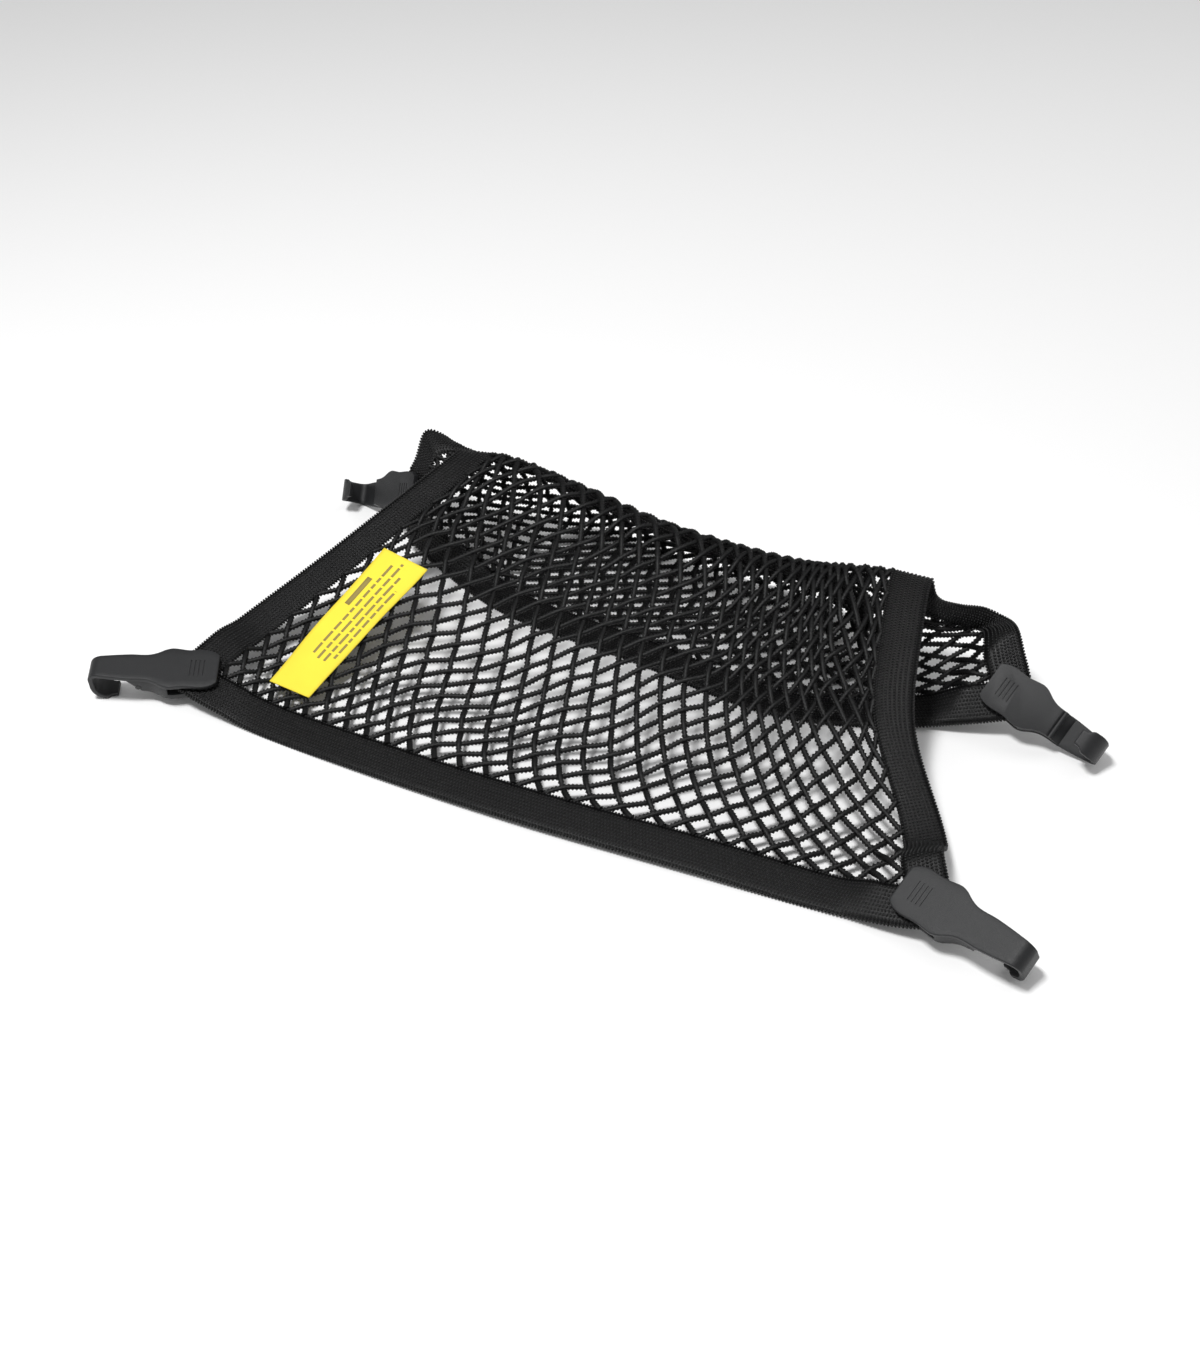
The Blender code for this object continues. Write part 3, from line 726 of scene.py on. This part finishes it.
def labelStrip(along, across, lift, thick):
    gridAlong, gridAcross = np.meshgrid(along, across, indexing="ij")
    spots, normals = labelSpot(gridAlong, gridAcross)
    upper = spots + normals * (lift + 0.5 * thick)
    lower = spots + normals * (lift - 0.5 * thick)
    rows, columns = gridAlong.shape
    verts = np.concatenate([upper.reshape(-1, 3), lower.reshape(-1, 3)])
    total = rows * columns
    faces = []
    for i in range(rows - 1):
        for j in range(columns - 1):
            p = i * columns + j
            faces.append((p, p + 1, p + columns + 1, p + columns))
            faces.append((total + p, total + p + columns, total + p + columns + 1, total + p + 1))
    rim = [(0, j) for j in range(columns - 1)] + [(i, columns - 1) for i in range(rows - 1)]
    rim += [(rows - 1, j) for j in range(columns - 1, 0, -1)]
    rim += [(i, 0) for i in range(rows - 1, 0, -1)]
    for (i, j), (k, m) in zip(rim, rim[1:] + rim[:1]):
        p, q = i * columns + j, k * columns + m
        faces.append((p, total + p, total + q, q))
    return verts, faces


verts, faces = labelStrip(np.linspace(0, 1, 60), np.linspace(-0.5, 0.5, 12), 0.0,
                          label["thick"])
labelCloth = meshObject("label_cloth", verts, faces, labelYellow)
outwardNormals(labelCloth)

# plain printed bars stand for lines of text: place across, start, end and height, as shares
printedBars = {
    "heading": (-0.30, 0.60, 0.80, 0.115),
    "rows": (-0.12, 0.04, 0.19, 0.33),
    "starts": (0.26, 0.24, 0.24, 0.28),
    "ends": (0.93, 0.96, 0.88, 0.80),
    "height": 0.055,
    "raised": 0.02,
    "thick": 0.06,
}


def buildPrint(setup):
    random = np.random.default_rng(5)
    pieces = [(setup["heading"][1], setup["heading"][2], setup["heading"][0], setup["heading"][3])]
    for row, start, end in zip(setup["rows"], setup["starts"], setup["ends"]):
        at = start
        while at < end:
            size = random.uniform(0.03, 0.085)
            pieces.append((at, min(at + size, end), row, setup["height"]))
            at += size + 0.014
    verts, faces = [], []
    for start, end, row, height in pieces:
        more, shapes = labelStrip(np.linspace(start, end, 6),
                                  np.linspace(row - height / 2, row + height / 2, 3),
                                  0.5 * label["thick"] + printedBars["raised"],
                                  printedBars["thick"])
        faces += [tuple(len(verts) + i for i in shape) for shape in shapes]
        verts += list(more)
    made = meshObject("label_print", verts, faces, printBrown)
    outwardNormals(made)
    return made


labelPrint = buildPrint(printedBars)
finishPiece(labelCloth, ("label",))
finishPiece(labelPrint)

print("hooks")
hook = {
    "length": 71.4,
    "height": 22.0,
    "shell": 2.8,
    "clampDepth": 11.5,
    "clampLength": 50.0,
    "jawTop": 3.4,
    "jawBottom": 8.0,
    "pinRadius": 1.6,
    "pinAlong": 44.0,
    "pinDown": 8.8,
    "bendAt": 65.0,
    "bendRadius": 6.6,
    "curlRadius": 10.3,
    "grooves": (8.0, 10.4, 12.8, 15.2),
}
hookOutline = (
    (0.0, 9.4), (1.2, 10.6), (4.0, 12.3), (8.0, 13.2), (13.0, 13.1), (18.0, 12.9), (23.0, 13.6),
    (26.5, 13.9), (30.0, 12.9), (34.0, 10.6), (38.0, 9.1), (42.0, 8.7), (48.0, 8.8), (54.0, 8.4),
    (60.0, 7.8), (66.0, 7.1), (72.0, 6.6), (80.0, 6.4), (92.0, 6.9), (95.5, 6.4), (97.5, 4.6),
)


def halfWidth(run):
    stations = np.array([s for s, _ in hookOutline])
    halves = np.array([h for _, h in hookOutline])
    slope = np.gradient(halves, stations)
    i = int(np.clip(np.searchsorted(stations, run) - 1, 0, len(stations) - 2))
    width = stations[i + 1] - stations[i]
    t = min(max((run - stations[i]) / width, 0), 1)
    return (halves[i] * (2 * t ** 3 - 3 * t ** 2 + 1) + halves[i + 1] * (3 * t ** 2 - 2 * t ** 3)
            + slope[i] * width * (t ** 3 - 2 * t ** 2 + t)
            + slope[i + 1] * width * (t ** 3 - t ** 2))


def hookPath():
    # flat arm, first bend, then the curl that goes round a rail
    bend, curl = hook["bendRadius"], hook["curlRadius"]
    spots = [(x, 0.0) for x in (0, 0.6, 1.2, 2.4)]
    spots += [(x, 0.0) for x in np.arange(4.0, 65.1, 1.9)]
    for step in range(1, 10):
        turn = math.radians(86 * step / 9)
        spots.append((hook["bendAt"] + bend * math.sin(turn), bend * math.cos(turn) - bend))
    low = hook["height"] - curl
    for step in range(0, 16):
        turn = math.radians(86 + 96 * step / 15)
        spots.append((hook["length"] - curl + curl * math.sin(turn),
                      curl * math.cos(turn) - low))
    end = spots[-1]
    spots += [(end[0] - 2.2, end[1] + 0.15), (end[0] - 4.0, end[1] + 0.4)]
    return spots


def finishModifiers(made, bevel, angle):
    rounding = made.modifiers.new("rounding", "BEVEL")
    rounding.width = bevel * mm
    rounding.segments = 3
    rounding.limit_method = "ANGLE"
    rounding.angle_limit = math.radians(angle)
    rounding.harden_normals = False


def boxObject(name, low, high):
    size = Vector(high) - Vector(low)
    middle = (Vector(high) + Vector(low)) / 2
    bpy.ops.mesh.primitive_cube_add(size=1.0)
    made = bpy.context.object
    made.name = name
    made.data.transform(Matrix.Scale(mm, 4) @ Matrix.Translation(middle)
                        @ Matrix.Diagonal((*size, 1.0)))
    return made


def cutAway(made, cutters):
    for cutter in cutters:
        cut = made.modifiers.new(cutter.name, "BOOLEAN")
        cut.operation = "DIFFERENCE"
        cut.solver = "EXACT"
        cut.object = cutter


def buildHook(name):
    path = hookPath()
    run, rows = 0.0, []
    for number, (x, z) in enumerate(path):
        if number:
            run += math.dist(path[number - 1], (x, z))
        half = halfWidth(run)
        rows.append([(x, half * share, z) for share in np.linspace(-1, 1, 7)])
    verts = np.array(rows).reshape(-1, 3)
    faces = []
    for i in range(len(rows) - 1):
        for j in range(6):
            p = i * 7 + j
            faces.append((p, p + 7, p + 8, p + 1))
    made = meshObject("hookRaw", verts, faces, hookGrey)
    shell = made.modifiers.new("shell", "SOLIDIFY")
    shell.thickness = hook["shell"] * mm
    shell.offset = -1.0
    shell.use_even_offset = True
    finishModifiers(made, 0.7, 50)
    grooves = []
    for at in hook["grooves"]:
        groove = boxObject("groove", (at - 0.35, -5.5, -0.45), (at + 0.35, 5.5, 2.0))
        grooves.append(groove)
    cutAway(made, grooves)
    solid = plainMesh(made, "hook_body_" + name)
    for groove in grooves:
        bpy.data.objects.remove(groove, do_unlink=True)
    return solid


def buildClamp(name):
    stations = [1.0, 2.2] + list(np.arange(4, hook["clampLength"], 2.0)) + [hook["clampLength"]]
    top, bottom = hook["shell"] + 0.3, hook["clampDepth"]
    outline = [(x, halfWidth(x) - 0.5) for x in stations]
    outline += [(x, -half) for x, half in reversed(outline)]
    count = len(outline)
    verts = [(x, y, -bottom) for x, y in outline] + [(x, y, -top) for x, y in outline]
    faces = [tuple(range(count)), tuple(range(2 * count - 1, count - 1, -1))]
    faces += [(i, i + count, (i + 1) % count + count, (i + 1) % count) for i in range(count)]
    made = meshObject("clampRaw", verts, faces, hookGrey, smooth=False)
    outwardNormals(made)
    jaw = boxObject("jawSpace", (-5, -20, -hook["jawBottom"]), (cloth["jawDepth"], 20, 0))
    slope = math.atan2(hook["clampDepth"] - hook["shell"], hook["clampLength"] - 42.0)
    wedge = boxObject("wedgeSpace", (-30, -20, -20), (30, 20, 0))
    wedge.data.transform(Matrix.Translation(Vector((hook["clampLength"], 0, -hook["shell"])) * mm)
                         @ Matrix.Rotation(-slope, 4, "Y"))
    hole = pinObject("pinSpace", hook["pinRadius"] + 0.3, 40.0)
    grooves = []
    for at in hook["grooves"]:
        grooves.append(boxObject("groove", (at - 0.35, -5.5, -13.0), (at + 0.35, 5.5, -11.05)))
    cutters = [jaw, wedge, hole] + grooves
    cutAway(made, cutters)
    finishModifiers(made, 0.45, 40)
    solid = plainMesh(made, "clamp_body_" + name)
    for cutter in cutters:
        bpy.data.objects.remove(cutter, do_unlink=True)
    return solid


def pinObject(name, radius, length):
    shaped = bmesh.new()
    bmesh.ops.create_cone(shaped, cap_ends=True, segments=28, radius1=radius * mm,
                          radius2=radius * mm, depth=length * mm,
                          matrix=Matrix.Translation(Vector((hook["pinAlong"], 0,
                                                            -hook["pinDown"])) * mm)
                          @ Matrix.Rotation(math.radians(90), 4, "X"))
    data = bpy.data.meshes.new(name)
    shaped.to_mesh(data)
    shaped.free()
    made = bpy.data.objects.new(name, data)
    bpy.context.scene.collection.objects.link(made)
    return made


def shadeByAngle(made, degrees):
    bpy.ops.object.select_all(action="DESELECT")
    made.select_set(True)
    bpy.context.view_layer.objects.active = made
    bpy.ops.object.shade_smooth_by_angle(angle=math.radians(degrees))
    made.select_set(False)


for name in hookPlaces:
    place = hookFrame(name)
    spot = (place.translation + Vector(toOrigin)) * mm
    place = Matrix.Translation(spot) @ place.to_3x3().to_4x4()
    body = buildHook(name)
    clamp = buildClamp(name)
    pin = pinObject("pin_rod_" + name, hook["pinRadius"],
                    2 * halfWidth(hook["pinAlong"]) - 0.9)
    pin.data.materials.append(hookGrey)
    for made, slot, node in ((body, "hook_plastic", "hook_"), (clamp, "clamp_plastic", "clamp_"),
                             (pin, "pin_plastic", "pin_")):
        made.data.transform(place)
        shadeByAngle(made, 35)
        finishPiece(made, (node + name,))
    print("hook", name)
